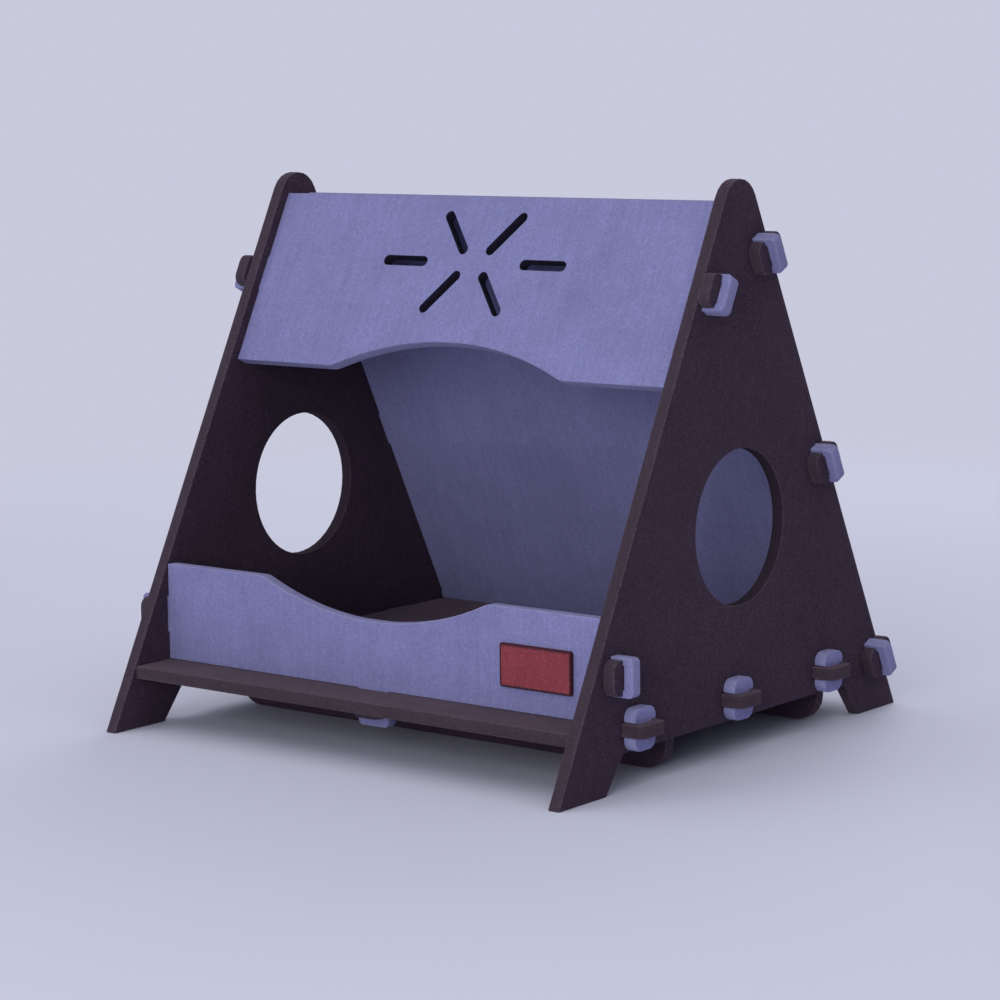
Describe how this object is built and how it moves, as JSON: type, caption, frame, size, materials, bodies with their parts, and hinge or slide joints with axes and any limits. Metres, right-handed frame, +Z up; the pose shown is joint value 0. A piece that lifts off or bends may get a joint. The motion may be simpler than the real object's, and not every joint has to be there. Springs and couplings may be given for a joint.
{
  "type": "cat house bed",
  "caption": "A-frame cat house of thick felt boards, with an open front over a low sill, round side windows, a raised floor and tabs locked by felt keys.",
  "frame": {"origin": "on the ground, under the middle of the house", "axes": "+X along the ridge towards the right end panel, +Y from the open front towards the back board, +Z up"},
  "size_m": [0.4802, 0.455, 0.4305],
  "materials": {
    "dark_felt": "matt pressed felt board, dark plum brown",
    "light_felt": "matt pressed felt board, lavender grey",
    "red_patch": "thin rust-red felt patch"
  },
  "bodies": {
    "root": {"left_end_panel": "dark_felt", "right_end_panel": "dark_felt", "front_roof_panel": "light_felt", "back_panel": "light_felt", "floor_panel": "dark_felt", "front_floor_rail": "dark_felt", "rear_floor_rail": "dark_felt", "front_sill_panel": "light_felt", "sill_patch": "red_patch", "roof_key_left": "dark_felt", "roof_key_right": "dark_felt", "back_key_upper_left": "dark_felt", "back_key_upper_right": "dark_felt", "back_key_middle_left": "dark_felt", "back_key_middle_right": "dark_felt", "back_key_lower_left": "dark_felt", "back_key_lower_right": "dark_felt", "sill_key_left": "dark_felt", "sill_key_right": "dark_felt", "sill_bottom_key": "dark_felt", "floor_key_front_left": "light_felt", "floor_key_front_right": "light_felt", "floor_key_middle_left": "light_felt", "floor_key_middle_right": "light_felt", "floor_key_rear_left": "light_felt", "floor_key_rear_right": "light_felt"}
  },
  "joints": []
}
